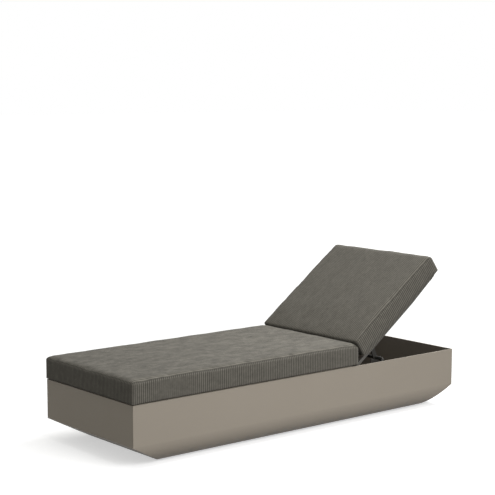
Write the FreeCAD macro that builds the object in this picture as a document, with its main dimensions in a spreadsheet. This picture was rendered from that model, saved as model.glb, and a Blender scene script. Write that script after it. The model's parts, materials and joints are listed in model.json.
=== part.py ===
import FreeCAD, Part
import math
import os
import re
import Sketcher

# Relaxation lounger: a sheet metal shell, open at the head end, with a fixed
# seat deck, a hinged backrest and a folding prop that stands on two racks.
# Millimetres. Origin on the floor under the middle of the shell, +X towards
# the head end, +Z up. Left is the side of -Y, the sitter's left hand.

V = FreeCAD.Vector
DOC = FreeCAD.newDocument("Lounger")
SHEET = DOC.addObject("Spreadsheet::Sheet", "Sizes")
WORDS_KEPT = ("sin", "cos", "tan", "sqrt", "vector", "rotation", "placement")
PARTS = []
SWEEP_STEPS = 360

SIZES = (
    ("length", 2000, "shell, end to end"),
    ("width", 700, "shell, side to side"),
    ("rim_level", 285, "top of the shell's walls"),
    ("base_gap", 3, "floor strips' thickness"),
    ("wall", 5, "shell sheet"),
    ("roll", 100, "outer radius of the rolled long edges"),
    ("slope_reach", 182, "how far the end slopes run under, along X"),
    ("slope_rise", 97, "height of the end slopes"),
    ("ledge_top", 267, "top of the inner ledges"),
    ("ledge_width", 25, "ledge angle, each leg"),
    ("ledge_thick", 3, "ledge angle, metal"),
    ("bar_base", 270, "underside of both deck frames when level"),
    ("bar_deep", 15, "deck frame members, height"),
    ("bar_wide", 10, "side bars and centre bars, width"),
    ("rail_wide", 20, "cross rails, width"),
    ("tube_wall", 1.5, "wall of every rectangular tube"),
    ("bar_edge", 340, "outer face of the side bars from the middle"),
    ("bar_taper", 190, "tapered stretch at the head end of the backrest's side bars"),
    ("bar_tip", 5, "height of those bars at their very end"),
    ("panel_thick", 5, "deck panels"),
    ("panel_edge", 336, "edge of the deck panels from the middle"),
    ("seat_start", -988, "foot end of the seat frame"),
    ("seat_end", 290, "head end of the seat frame"),
    ("beam_wide", 30, "cross bearers, width"),
    ("beam_deep", 20, "cross bearers, height"),
    ("ledge_clear", 6, "free length between a ledge and the hinge bearer"),
    ("pad_long", 240, "rubber pads under the seat's side bars"),
    ("buffer_long", 60, "rubber buffers under the backrest's side bars"),
    ("buffer_gap", 0.4, "free height over the buffers when the backrest is level"),
    ("bearer_foot_at", -600, "middle of the foot bearer"),
    ("bearer_middle_at", -130, "middle of the second bearer"),
    ("hinge_x", 321, "backrest hinge, along X"),
    ("hinge_z", 277.5, "backrest hinge, height"),
    ("pin_radius", 4, "hinge pins and prop pins"),
    ("running_gap", 0.05, "radial clearance of the pins in their eyes"),
    ("bush_radius", 5, "outside of the hinge bushes"),
    ("bush_collar", 7, "collar of the hinge bushes, radius"),
    ("bracket_inner", 323, "inner face of the hinge brackets from the middle"),
    ("bracket_thick", 5, "hinge bracket plate"),
    ("bracket_foot", 25, "foot of the hinge brackets, along Y"),
    ("bracket_sole", 4, "foot of the hinge brackets, thickness"),
    ("eye_radius", 9, "round ends of brackets, lugs and arms"),
    ("screw_line", 310, "bracket screws from the middle"),
    ("screw_step", 8, "bracket screws either side of the hinge"),
    ("screw_radius", 2.5, "bracket screws, shank"),
    ("screw_long", 12, "bracket screws, shank below the foot"),
    ("recline", 36, "backrest angle as drawn, from level"),
    ("back_end", 985, "head end of the backrest frame when level"),
    ("back_rail_at", 346, "foot face of the backrest's bottom rail"),
    ("prop_reach", 266.2, "prop pivot from the hinge, along the backrest"),
    ("prop_drop", 18, "prop pivot below the hinge when level"),
    ("prop_arm", 172, "prop pivot to the crossbar"),
    ("prop_angle", 102.24, "prop from the backrest as drawn"),
    ("arm_inner", 170, "inner face of the prop arms from the middle"),
    ("arm_thick", 6, "prop arms"),
    ("arm_head", 13, "half height of the prop arms at the crossbar"),
    ("arm_tail", 35, "prop arms, past the crossbar"),
    ("lug_inner", 163, "inner face of the prop lugs from the middle"),
    ("lug_thick", 5, "prop lugs"),
    ("crossbar_radius", 8, "crossbar tube, outside"),
    ("crossbar_wall", 1.5, "crossbar tube, wall"),
    ("crossbar_half", 229, "middle of the crossbar to its bent ends"),
    ("crossbar_bend", 12, "bend radius at the crossbar's ends"),
    ("crossbar_leg", 6, "straight leg past the bends"),
    ("hook_turn", 60, "tilt of the bent ends from the prop arms"),
    ("sleeve_radius", 9.5, "nylon sleeves on the crossbar"),
    ("sleeve_inner", 199, "inner end of the sleeves from the middle"),
    ("sleeve_length", 16, "sleeves"),
    ("rack_inner", 205, "inner face of the racks from the middle"),
    ("rack_thick", 4, "rack sheet"),
    ("rack_start", 550, "foot end of the racks"),
    ("rack_end", 765, "head end of the racks"),
    ("rack_high", 270.2, "rack top at its foot end"),
    ("rack_low", 237.6, "rack top at its head end"),
    ("rack_sweep", 600, "radius of the rack's top edge"),
    ("notch_radius", 5, "rest notches"),
    ("notch_first", 12, "lowest backrest angle with a notch"),
    ("notch_step", 6, "backrest angle from notch to notch"),
    ("notch_count", 5, "notches on each rack"),
    ("window_rim", 25, "sheet left beside the rack's window"),
    ("window_sill", 45, "sheet left under and over the rack's window"),
    ("window_round", 12, "corners of the rack's window"),
    ("stud_radius", 3, "rack studs"),
    ("flange", 25, "foot flange of the racks"),
    ("cushion_thick", 96, "cushions at their edges"),
    ("cushion_crown", 8, "rise in the middle of the cushions"),
    ("crown_at_ends", 0.15, "share of that rise left at the cushion's ends"),
    ("seat_hem", 10, "rounding of the seat cushion's lower edges"),
    ("back_hem", 4, "rounding of the back cushion's lower edges"),
    ("band_thick", 4.4, "cover band round the backrest frame"),
    ("band_lift", 11, "how far the band's lower edge climbs towards the head end"),
    ("band_round", 8, "corners of the cover band"),
    ("cushion_bulge", 3, "swell of the cushion borders"),
    ("cushion_waist", 3, "how far the long borders draw in"),
    ("cushion_round", 18, "rounding of the upright and upper cushion edges"),
    ("slot_wide", 12, "ventilation slots in the deck panels"),
    ("slot_inner", 80, "slots, inner end from the middle"),
    ("slot_outer", 260, "slots, outer end from the middle"),
    ("seat_cushion_end", 330, "head end of the seat cushion"),
    ("back_cushion_start", 388, "foot end of the back cushion when level"),
    ("back_cushion_end", 1028, "head end of the back cushion when level"),
)


# Sheet and formulas

def fill_sheet():
    for row, (alias, number, meaning) in enumerate(SIZES, start=1):
        SHEET.set("A%d" % row, meaning)
        SHEET.set("B%d" % row, str(number))
        SHEET.setAlias("B%d" % row, alias)
    DOC.recompute()


def formula(text):
    def name(found):
        word = found.group(0)
        return word if word in WORDS_KEPT else "Sizes." + word
    return re.sub(r"[a-z][a-z_0-9]*", name, str(text))


def size(text):
    return float(SHEET.evalExpression(str(text)))


def bind(item, prop, text):
    item.setExpression(prop, formula(text))


# Motion of the moving parts, as placements worked out from the sheet

LEVEL_PIVOT_X = "(hinge_x + prop_reach)"
LEVEL_PIVOT_Z = "(hinge_z - prop_drop)"
STILL = "placement(vector(0; 0; 0); rotation(vector(0; 1; 0); 0))"
BACK_SWING = "placement(vector(0; 0; 0); rotation(vector(0; 1; 0); -recline); vector(hinge_x; 0; hinge_z))"
PROP_SWING = (BACK_SWING + " * placement(vector(0; 0; 0); rotation(vector(0; 1; 0); prop_angle); vector("
              + LEVEL_PIVOT_X + "; 0; " + LEVEL_PIVOT_Z + "))")


def shifted(motion, x="0", y="0", z="0", turn="0"):
    return "%s * placement(vector(%s; %s; %s); rotation(vector(0; 1; 0); %s))" % (motion, x, y, z, turn)


def keep(item, label):
    item.Label = label
    PARTS.append(item)
    return item


# Sketched bodies

def new_body(label, motion=STILL):
    body = DOC.addObject("PartDesign::Body", label)
    bind(body, "Placement", motion)
    return keep(body, label)


def new_sketch(body, role, offset="0"):
    sketch = body.newObject("Sketcher::SketchObject", body.Name + "_sketch")
    plane = next(f for f in body.Origin.OriginFeatures if f.Role == role)
    sketch.AttachmentSupport = (plane, [""])
    sketch.MapMode = "FlatFace"
    bind(sketch, "AttachmentOffset.Base.z", offset)
    return sketch


def arc_centre(start, end, radius, side):
    # Centre of the arc from start to end; side is 1 for a left turn, -1 for a right turn
    middle = (start + end) * 0.5
    chord = end - start
    half = chord.Length / 2
    normal = V(-chord.y, chord.x, 0) / chord.Length
    return middle + normal * side * math.sqrt(max(radius ** 2 - half ** 2, 0))


def draw_outline(sketch, corners):
    # A corner is (x, y), or (x, y, radius, side) where a round edge leaves it
    points = [V(size(c[0]), size(c[1]), 0) for c in corners]
    edges = []
    for index, corner in enumerate(corners):
        start = points[index]
        end = points[(index + 1) % len(points)]
        if len(corner) == 2:
            edges.append((sketch.addGeometry(Part.LineSegment(start, end), False), 1, 2))
            continue
        radius, side = size(corner[2]), corner[3]
        centre = arc_centre(start, end, radius, side)
        first, last = (start, end) if side > 0 else (end, start)
        angles = [math.atan2(p.y - centre.y, p.x - centre.x) for p in (first, last)]
        circle = Part.Circle(centre, V(0, 0, 1), radius)
        geometry = sketch.addGeometry(Part.ArcOfCircle(circle, angles[0], angles[1]), False)
        edges.append((geometry, 1, 2) if side > 0 else (geometry, 2, 1))
    for index, corner in enumerate(corners):
        geometry, first, last = edges[index]
        follower, follower_first, _ = edges[(index + 1) % len(edges)]
        sketch.addConstraint(Sketcher.Constraint("Coincident", geometry, last, follower, follower_first))
        point = points[index]
        for kind, text, number in (("DistanceX", corner[0], point.x), ("DistanceY", corner[1], point.y)):
            mark = sketch.addConstraint(Sketcher.Constraint(kind, -1, 1, geometry, first, number))
            bind(sketch, "Constraints[%d]" % mark, text)
        if len(corner) == 4:
            mark = sketch.addConstraint(Sketcher.Constraint("Radius", geometry, size(corner[2])))
            bind(sketch, "Constraints[%d]" % mark, corner[2])


def draw_circle(sketch, x, y, radius):
    geometry = sketch.addGeometry(Part.Circle(V(size(x), size(y), 0), V(0, 0, 1), size(radius)), False)
    for kind, text in (("DistanceX", x), ("DistanceY", y)):
        mark = sketch.addConstraint(Sketcher.Constraint(kind, -1, 1, geometry, 3, size(text)))
        bind(sketch, "Constraints[%d]" % mark, text)
    mark = sketch.addConstraint(Sketcher.Constraint("Radius", geometry, size(radius)))
    bind(sketch, "Constraints[%d]" % mark, radius)


def pad(body, sketch, length):
    feature = body.newObject("PartDesign::Pad", body.Name + "_pad")
    feature.Profile = sketch
    bind(feature, "Length", length)
    DOC.recompute()
    return feature


def cut_through(body, sketch):
    before = body.Shape.Volume
    feature = body.newObject("PartDesign::Pocket", body.Name + "_cut")
    feature.Profile = sketch
    feature.Type = "ThroughAll"
    feature.SideType = "Symmetric"
    DOC.recompute()
    if body.Shape.Volume >= before:
        raise RuntimeError(body.Name + ": a cut removed nothing")
    return feature


def revolve(body, sketch):
    feature = body.newObject("PartDesign::Revolution", body.Name + "_revolution")
    feature.Profile = sketch
    feature.ReferenceAxis = (sketch, ["V_Axis"])
    feature.Angle = 360
    DOC.recompute()
    return feature


def side_start(sign, inner, thick):
    # Offset of an XZ sketch whose pad runs towards -Y and fills inner to inner + thick on one side
    return inner if sign < 0 else "-(%s + %s)" % (inner, thick)


def plate(label, outline, sign, inner, thick, holes=(), motion=STILL):
    body = new_body(label, motion)
    sketch = new_sketch(body, "XZ_Plane", side_start(sign, inner, thick))
    draw_outline(sketch, outline)
    for hole in holes:
        draw_circle(sketch, *hole)
    pad(body, sketch, thick)
    return body


def turned(label, steps, x, y, z, sign=1, motion=STILL):
    # A round piece about the Y axis; steps are (radius, distance outward from y) corners
    body = new_body(label, shifted(motion, x, "%s * (%d)" % (y, sign), z))
    sketch = new_sketch(body, "XY_Plane")
    draw_outline(sketch, [(radius, "(%s) * (%d)" % (along, sign)) for radius, along in steps])
    revolve(body, sketch)
    return body


# Plain blocks and tubes

def box(name, x, y, z, motion=STILL):
    item = DOC.addObject("Part::Box", name)
    for prop, (low, high) in (("Length", x), ("Width", y), ("Height", z)):
        bind(item, prop, "(%s) - (%s)" % (high, low))
    bind(item, "Placement", shifted(motion, x[0], y[0], z[0]))
    return item


def block(label, x, y, z, motion=STILL):
    return keep(box(label, x, y, z, motion), label)


def subtract(label, base, tools, motion=STILL):
    tool = tools[0]
    if len(tools) > 1:
        tool = DOC.addObject("Part::MultiFuse", label + "_tools")
        tool.Shapes = tools
    item = DOC.addObject("Part::Cut", label)
    item.Base = base
    item.Tool = tool
    bind(item, "Placement", motion)
    return keep(item, label)


def cross_tube(label, x, z, half, motion=STILL, drills=()):
    # A rectangular tube along Y, with its bore and any drilled holes
    inside = [("(%s) + tube_wall" % low, "(%s) - tube_wall" % high) for low, high in (x, z)]
    outer = box(label + "_outer", x, ("-(%s)" % half, half), z)
    bore = box(label + "_bore", inside[0], ("-(%s) - 1" % half, "(%s) + 1" % half), inside[1])
    return subtract(label, outer, [bore] + list(drills), motion)


def rod(name, x, y, z, radius, height):
    item = DOC.addObject("Part::Cylinder", name)
    bind(item, "Radius", radius)
    bind(item, "Height", height)
    bind(item, "Placement", shifted(STILL, x, y, z))
    return item


SIDES = (("left", -1), ("right", 1))


def span(sign, inner, outer):
    # Y range of a piece between two distances from the middle, on one side
    if sign > 0:
        return (inner, outer)
    return ("-(%s)" % outer, "-(%s)" % inner)


# Shell

def shell_skin():
    # One sheet: two upright sides rolled under into a flat bottom, cut to the end slopes
    side = "width / 2"
    inside = "(width / 2 - wall)"
    flat = "(width / 2 - roll)"
    body = new_body("shell_skin")
    sketch = new_sketch(body, "YZ_Plane", "-length / 2")
    draw_outline(sketch, [
        ("-" + side, "rim_level"),
        ("-" + side, "base_gap + roll", "roll", 1),
        ("-" + flat, "base_gap"),
        (flat, "base_gap", "roll", 1),
        (side, "base_gap + roll"),
        (side, "rim_level"),
        (inside, "rim_level"),
        (inside, "base_gap + roll", "roll - wall", -1),
        (flat, "base_gap + wall"),
        ("-" + flat, "base_gap + wall", "roll - wall", -1),
        ("-" + inside, "base_gap + roll"),
        ("-" + inside, "rim_level"),
    ])
    pad(body, sketch, "length")
    for sign in (-1, 1):
        slope = new_sketch(body, "XZ_Plane")
        outer = "(length / 2 + slope_reach * 0.1) * (%d)" % sign
        inner = "(length / 2 - slope_reach * 1.1) * (%d)" % sign
        low = "base_gap - slope_rise * 0.1"
        draw_outline(slope, [(outer, low), (inner, low), (outer, "base_gap + slope_rise * 1.1")])
        cut_through(body, slope)


def end_panel(label, sign):
    # Upright end wall and end slope in one bent sheet, fitted between the rolled sides
    slant = "(sqrt(slope_reach ^ 2 + slope_rise ^ 2))"
    toe = "(length / 2 - slope_reach * (slope_rise - wall) / slope_rise)"
    bend = "base_gap + slope_rise + wall * (%s - slope_rise) / slope_reach" % slant
    body = new_body(label)
    sketch = new_sketch(body, "XZ_Plane", "-(width / 2 - wall)")
    draw_outline(sketch, [
        ("(length / 2) * (%d)" % sign, "rim_level"),
        ("(length / 2) * (%d)" % sign, "base_gap + slope_rise"),
        ("%s * (%d)" % (toe, sign), "base_gap + wall"),
        ("(%s - wall * %s / slope_rise) * (%d)" % (toe, slant, sign), "base_gap + wall"),
        ("(length / 2 - wall) * (%d)" % sign, bend),
        ("(length / 2 - wall) * (%d)" % sign, "rim_level"),
    ])
    pad(body, sketch, "width - 2 * wall")
    corner = new_sketch(body, "YZ_Plane")
    for side in (-1, 1):
        draw_outline(corner, [
            ("(width / 2 - roll) * (%d)" % side, "base_gap + wall", "roll - wall", side),
            ("(width / 2 - wall) * (%d)" % side, "base_gap + roll"),
            ("(width / 2 - wall + 1) * (%d)" % side, "base_gap + roll"),
            ("(width / 2 - wall + 1) * (%d)" % side, "base_gap + wall - 1"),
            ("(width / 2 - roll) * (%d)" % side, "base_gap + wall - 1"),
        ])
    cut_through(body, corner)


def floor_strips():
    for name, place in (("foot", "-760"), ("head", "760")):
        block("floor_strip_" + name, (place + " - 20", place + " + 20"), ("-240", "240"), ("0", "base_gap"))


def angle_ledge(label, sign, start, end):
    body = new_body(label)
    sketch = new_sketch(body, "YZ_Plane", start)
    face = "(width / 2 - wall)"
    corners = [
        (face, "ledge_top"),
        ("(width / 2 - wall - ledge_width)", "ledge_top"),
        ("(width / 2 - wall - ledge_width)", "ledge_top - ledge_thick"),
        ("(width / 2 - wall - ledge_thick)", "ledge_top - ledge_thick"),
        ("(width / 2 - wall - ledge_thick)", "ledge_top - ledge_width"),
        (face, "ledge_top - ledge_width"),
    ]
    draw_outline(sketch, [("%s * (%d)" % (y, sign), z) for y, z in corners])
    pad(body, sketch, "(%s) - (%s)" % (end, start))


def ledges():
    clear = "(beam_wide / 2 + ledge_clear)"
    for side, sign in SIDES:
        angle_ledge("seat_ledge_" + side, sign, "-length / 2 + 10", "hinge_x - " + clear)
        angle_ledge("back_ledge_" + side, sign, "hinge_x + " + clear, "800")
    body = new_body("foot_ledge")
    reach = "(width / 2 - wall - ledge_width - 2)"
    sketch = new_sketch(body, "XZ_Plane", "-" + reach)
    face = "-length / 2 + wall"
    draw_outline(sketch, [
        (face, "ledge_top"),
        (face, "ledge_top - ledge_width"),
        (face + " + ledge_thick", "ledge_top - ledge_width"),
        (face + " + ledge_thick", "ledge_top - ledge_thick"),
        (face + " + ledge_width", "ledge_top - ledge_thick"),
        (face + " + ledge_width", "ledge_top"),
    ])
    pad(body, sketch, "2 * " + reach)


def screw_places(sign):
    # The two bracket screws of one side
    return [("hinge_x + screw_step * (%d)" % step, "screw_line * (%d)" % sign) for step in (-1, 1)]


def bearers():
    top = "ledge_top - ledge_thick"
    level = (top + " - beam_deep", top)
    for name in ("foot", "middle"):
        place = "bearer_%s_at" % name
        cross_tube("bearer_" + name, (place + " - beam_wide / 2", place + " + beam_wide / 2"), level,
                   "width / 2 - wall - ledge_thick")
    drills = []
    for side, sign in SIDES:
        for x, y in screw_places(sign):
            drills.append(rod("beam_hole", x, y, level[0] + " + beam_deep / 2", "screw_radius", "beam_deep"))
    stretch = ("hinge_x - beam_wide / 2", "hinge_x + beam_wide / 2")
    cross_tube("hinge_beam", stretch, level, "width / 2 - wall", drills=drills)


def rubber_group(label, spans):
    # Identical rubber pads on both ledges, as one group of separate solids
    boxes = []
    for x, z in spans:
        for _, sign in SIDES:
            boxes.append(box(label + "_pad", x, span(sign, "bar_edge - 9", "bar_edge - 1"), z))
    group = DOC.addObject("Part::Compound", label)
    group.Links = boxes
    keep(group, label)


# Seat deck

def deck_side_bars(prefix, start, end):
    for side, sign in SIDES:
        block("%s_side_bar_%s" % (prefix, side), (start, end), span(sign, "bar_edge - bar_wide", "bar_edge"),
              ("bar_base", "bar_base + bar_deep"))


def cross_rail(label, start, motion=STILL):
    level = ("bar_base", "bar_base + bar_deep")
    cross_tube(label, (start, "%s + rail_wide" % start), level, "bar_edge - bar_wide", motion)


def deck_panel(label, start, end, rows, motion=STILL):
    # Panel with rows of ventilation slots, two to a row, either side of the centre bar
    body = new_body(label, motion)
    sketch = new_sketch(body, "XY_Plane", "bar_base + bar_deep")
    edge = "panel_edge"
    draw_outline(sketch, [(start, "-" + edge), (end, "-" + edge), (end, edge), (start, edge)])
    pad(body, sketch, "panel_thick")
    slots = new_sketch(body, "XY_Plane", "bar_base + bar_deep")
    pitch = "((%s) - (%s)) / %d" % (end, start, rows)
    middle = "(%s) + %s / 2" % (start, pitch)
    right, left = "%s + slot_wide / 2" % middle, "%s - slot_wide / 2" % middle
    for _, sign in SIDES:
        low, high = span(sign, "slot_inner", "slot_outer")
        draw_outline(slots, [
            (right, low),
            (right, high, "slot_wide / 2", 1),
            (middle, high + " + slot_wide / 2", "slot_wide / 2", 1),
            (left, high),
            (left, low, "slot_wide / 2", 1),
            (middle, low + " - slot_wide / 2", "slot_wide / 2", 1),
        ])
    cut = cut_through(body, slots)
    pattern = body.newObject("PartDesign::LinearPattern", label + "_slot_rows")
    pattern.Originals = [cut]
    pattern.Direction = (slots, ["H_Axis"])
    pattern.Occurrences = rows
    bind(pattern, "Length", "%s * %d" % (pitch, rows - 1))
    body.Tip = pattern
    DOC.recompute()


def seat_deck():
    deck_side_bars("seat", "seat_start", "seat_end")
    cross_rail("seat_foot_rail", "seat_start")
    cross_rail("seat_rear_rail", "seat_end - rail_wide")
    across = ("-bar_wide / 2", "bar_wide / 2")
    level = ("ledge_top - ledge_thick", "bar_base + bar_deep")
    block("seat_centre_bar", ("seat_start + rail_wide", "seat_end - rail_wide"), across, level)
    deck_panel("seat_panel", "seat_start + 3", "seat_end - 3", 14)
    level = ("ledge_top", "bar_base")
    rubber_group("seat_pads", [((place, place + " + pad_long"), level) for place in ("-950", "-520", "0")])


# Hinge

def hinge_fittings():
    for side, sign in SIDES:
        top = "ledge_top - ledge_thick"
        eye = "eye_radius"
        body = plate("hinge_bracket_" + side, [
            ("hinge_x - beam_wide / 2", top),
            ("hinge_x + beam_wide / 2", top),
            ("hinge_x + beam_wide / 2", top + " + bracket_sole"),
            ("hinge_x + " + eye, "hinge_z", eye, 1),
            ("hinge_x", "hinge_z + " + eye, eye, 1),
            ("hinge_x - " + eye, "hinge_z"),
            ("hinge_x - beam_wide / 2", top + " + bracket_sole"),
        ], sign, "bracket_inner", "bracket_thick", [("hinge_x", "hinge_z", "pin_radius")])
        foot = new_sketch(body, "XY_Plane", top)
        low, high = span(sign, "bracket_inner - bracket_foot", "bracket_inner")
        draw_outline(foot, [("hinge_x - beam_wide / 2", low), ("hinge_x + beam_wide / 2", low),
                            ("hinge_x + beam_wide / 2", high), ("hinge_x - beam_wide / 2", high)])
        for x, y in screw_places(sign):
            draw_circle(foot, x, y, "screw_radius")
        pad(body, foot, "bracket_sole")
        turned("hinge_pin_" + side, [("0", "-22"), ("pin_radius", "-22"), ("pin_radius", "1"), ("7", "1"),
                                     ("7", "3.5"), ("6", "4"), ("0", "4")],
               "hinge_x", "bar_edge", "hinge_z", sign)
        bore = "pin_radius + running_gap"
        collar = "-(bar_wide + 0.6)"
        turned("hinge_bush_" + side, [(bore, collar), ("bush_collar", collar), ("bush_collar", "-bar_wide"),
                                      ("bush_radius", "-bar_wide"), ("bush_radius", "0"), (bore, "0")],
               "hinge_x", "bar_edge", "hinge_z", sign, BACK_SWING)


def ring(name, x, y, z, inner, outer, sign, thick):
    # A washer or nut about the Y axis, from y outwards to y + thick
    disc = DOC.addObject("Part::Cylinder", name + "_disc")
    hole = DOC.addObject("Part::Cylinder", name + "_hole")
    for item, radius in ((disc, outer), (hole, inner)):
        bind(item, "Radius", radius)
        bind(item, "Height", thick)
        item.Placement = FreeCAD.Placement(V(0, 0, 0), FreeCAD.Rotation(V(1, 0, 0), -90))
    item = DOC.addObject("Part::Cut", name)
    item.Base = disc
    item.Tool = hole
    low = span(sign, y, "(%s) + (%s)" % (y, thick))[0]
    bind(item, "Placement", shifted(STILL, x, low, z))
    return item


def group_of(label, members, motion=STILL):
    group = DOC.addObject("Part::Compound", label)
    group.Links = members
    bind(group, "Placement", motion)
    keep(group, label)


def hinge_fasteners():
    members = []
    for _, sign in SIDES:
        members.append(ring("hinge_washer", "hinge_x", "328.2", "hinge_z", "pin_radius", "7", sign, "1"))
        members.append(ring("hinge_nut", "hinge_x", "318.5", "hinge_z", "pin_radius", "6.5", sign, "4.5"))
    group_of("hinge_nuts_and_washers", members)
    screws = []
    top = "ledge_top - ledge_thick + bracket_sole"
    for _, sign in SIDES:
        for x, y in screw_places(sign):
            shank = rod("screw_shank", x, y, top + " - screw_long", "screw_radius", "screw_long")
            head = DOC.addObject("Part::Cone", "screw_head")
            head.Radius1 = 4.5
            head.Radius2 = 3
            head.Height = 2.5
            bind(head, "Placement", shifted(STILL, x, y, top))
            screw = DOC.addObject("Part::Fuse", "bracket_screw")
            screw.Base = shank
            screw.Tool = head
            screws.append(screw)
    group_of("bracket_screws", screws)


# Backrest

def back_side_bars():
    # Flat bars with a bored round eye at the hinge and a tapered head end
    for side, sign in SIDES:
        radius = "bar_deep / 2"
        plate("back_side_bar_" + side, [
            ("hinge_x", "bar_base"),
            ("back_end - bar_taper", "bar_base"),
            ("back_end", "bar_base + bar_deep - bar_tip"),
            ("back_end", "bar_base + bar_deep"),
            ("hinge_x", "bar_base + bar_deep", radius, 1),
            ("hinge_x - " + radius, "hinge_z", radius, 1),
        ], sign, "(bar_edge - bar_wide)", "bar_wide", [("hinge_x", "hinge_z", "bush_radius")], BACK_SWING)


def backrest_frame():
    back_side_bars()
    rail_at = LEVEL_PIVOT_X + " - rail_wide / 2"
    cross_rail("back_bottom_rail", "back_rail_at", BACK_SWING)
    cross_rail("back_middle_rail", rail_at, BACK_SWING)
    cross_rail("back_top_rail", "back_end - rail_wide", BACK_SWING)
    for name, start, end in (("lower", "back_rail_at + rail_wide", rail_at),
                             ("upper", rail_at + " + rail_wide", "back_end - rail_wide")):
        block("back_centre_bar_" + name, (start, end), ("-bar_wide / 2", "bar_wide / 2"),
              ("bar_base", "bar_base + bar_deep"), BACK_SWING)
    deck_panel("back_panel", "back_cushion_start", "back_end", 7, BACK_SWING)


def prop_lugs():
    eye = "eye_radius"
    for side, sign in SIDES:
        plate("prop_lug_" + side, [
            (LEVEL_PIVOT_X + " - 10", "bar_base"),
            (LEVEL_PIVOT_X + " - " + eye, LEVEL_PIVOT_Z, eye, 1),
            (LEVEL_PIVOT_X, LEVEL_PIVOT_Z + " - " + eye, eye, 1),
            (LEVEL_PIVOT_X + " + " + eye, LEVEL_PIVOT_Z),
            (LEVEL_PIVOT_X + " + 10", "bar_base"),
        ], sign, "lug_inner", "lug_thick", [(LEVEL_PIVOT_X, LEVEL_PIVOT_Z, "pin_radius")], BACK_SWING)
        turned("prop_pin_" + side, [("0", "-1"), ("pin_radius", "-1"), ("pin_radius", "14"), ("6.5", "14"),
                                    ("6.5", "16.5"), ("5.5", "17"), ("0", "17")],
               LEVEL_PIVOT_X, "lug_inner", LEVEL_PIVOT_Z, sign, BACK_SWING)


# Prop

def prop_arms():
    # Flat arms, widest where the crossbar goes through them, with a rounded tail past it
    bar_x = "(%s + prop_arm)" % LEVEL_PIVOT_X
    tail_x = "(%s + prop_arm + arm_tail)" % LEVEL_PIVOT_X
    eye = "eye_radius"
    holes = [
        (LEVEL_PIVOT_X, LEVEL_PIVOT_Z, "pin_radius + running_gap"),
        (bar_x, LEVEL_PIVOT_Z, "crossbar_radius"),
    ]
    for side, sign in SIDES:
        plate("prop_arm_" + side, [
            (LEVEL_PIVOT_X, LEVEL_PIVOT_Z + " - " + eye),
            (bar_x, LEVEL_PIVOT_Z + " - arm_head"),
            (tail_x, LEVEL_PIVOT_Z + " - " + eye, eye, 1),
            (tail_x + " + " + eye, LEVEL_PIVOT_Z, eye, 1),
            (tail_x, LEVEL_PIVOT_Z + " + " + eye),
            (bar_x, LEVEL_PIVOT_Z + " + arm_head"),
            (LEVEL_PIVOT_X, LEVEL_PIVOT_Z + " + " + eye, eye, 1),
            (LEVEL_PIVOT_X + " - " + eye, LEVEL_PIVOT_Z, eye, 1),
        ], sign, "arm_inner", "arm_thick", holes, PROP_SWING)


def on_crossbar(turn="0"):
    return shifted(PROP_SWING, LEVEL_PIVOT_X + " + prop_arm", "0", LEVEL_PIVOT_Z, turn)


def crossbar():
    # One tube along Y whose ends turn down; drawn in its own plane and then tilted
    body = new_body("prop_crossbar", on_crossbar("hook_turn"))
    spine = new_sketch(body, "XY_Plane")
    half, bend, leg = size("crossbar_half"), size("crossbar_bend"), size("crossbar_leg")
    spine.addGeometry(Part.LineSegment(V(bend + leg, -half, 0), V(bend, -half, 0)), False)
    near = Part.Circle(V(bend, bend - half, 0), V(0, 0, 1), bend)
    spine.addGeometry(Part.ArcOfCircle(near, math.pi, 1.5 * math.pi), False)
    spine.addGeometry(Part.LineSegment(V(0, bend - half, 0), V(0, half - bend, 0)), False)
    far = Part.Circle(V(bend, half - bend, 0), V(0, 0, 1), bend)
    spine.addGeometry(Part.ArcOfCircle(far, 0.5 * math.pi, math.pi), False)
    spine.addGeometry(Part.LineSegment(V(bend, half, 0), V(bend + leg, half, 0)), False)
    section = new_sketch(body, "YZ_Plane", "crossbar_bend + crossbar_leg")
    draw_circle(section, "-crossbar_half", "0", "crossbar_radius")
    draw_circle(section, "-crossbar_half", "0", "crossbar_radius - crossbar_wall")
    DOC.recompute()
    pipe = body.newObject("PartDesign::AdditivePipe", "prop_crossbar_pipe")
    pipe.Profile = section
    pipe.Spine = (spine, ["Edge%d" % number for number in range(1, 6)])
    DOC.recompute()


def crossbar_trim():
    plugs = []
    for _, sign in SIDES:
        plug = DOC.addObject("Part::Cylinder", "plug_stem")
        bind(plug, "Radius", "crossbar_radius - crossbar_wall")
        plug.Height = 8
        cap = DOC.addObject("Part::Cylinder", "plug_cap")
        bind(cap, "Radius", "crossbar_radius")
        cap.Height = 1.5
        cap.Placement = FreeCAD.Placement(V(0, 0, 8), FreeCAD.Rotation())
        whole = DOC.addObject("Part::Fuse", "crossbar_plug")
        whole.Base = plug
        whole.Tool = cap
        place = "crossbar_half * (%d)" % sign
        bind(whole, "Placement", shifted(STILL, "crossbar_bend + crossbar_leg - 8", place, "0", "90"))
        plugs.append(whole)
    group_of("crossbar_plugs", plugs, on_crossbar("hook_turn"))
    for side, sign in SIDES:
        turned("crossbar_sleeve_" + side,
               [("crossbar_radius", "0"), ("sleeve_radius", "0"), ("sleeve_radius", "sleeve_length"),
                ("crossbar_radius", "sleeve_length")],
               LEVEL_PIVOT_X + " + prop_arm", "sleeve_inner", LEVEL_PIVOT_Z, sign, PROP_SWING)


# Racks

def crossbar_centre(angle):
    # Where the crossbar is, in XZ, with the backrest at an angle from level
    swing = math.radians(angle)
    fold = math.radians(angle * size("prop_angle") / size("recline")) - swing
    pivot_x = size("hinge_x") + size("prop_reach") * math.cos(swing) + size("prop_drop") * math.sin(swing)
    pivot_z = size("hinge_z") + size("prop_reach") * math.sin(swing) - size("prop_drop") * math.cos(swing)
    arm = size("prop_arm")
    return V(pivot_x + arm * math.cos(fold), pivot_z - arm * math.sin(fold), 0)


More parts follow.
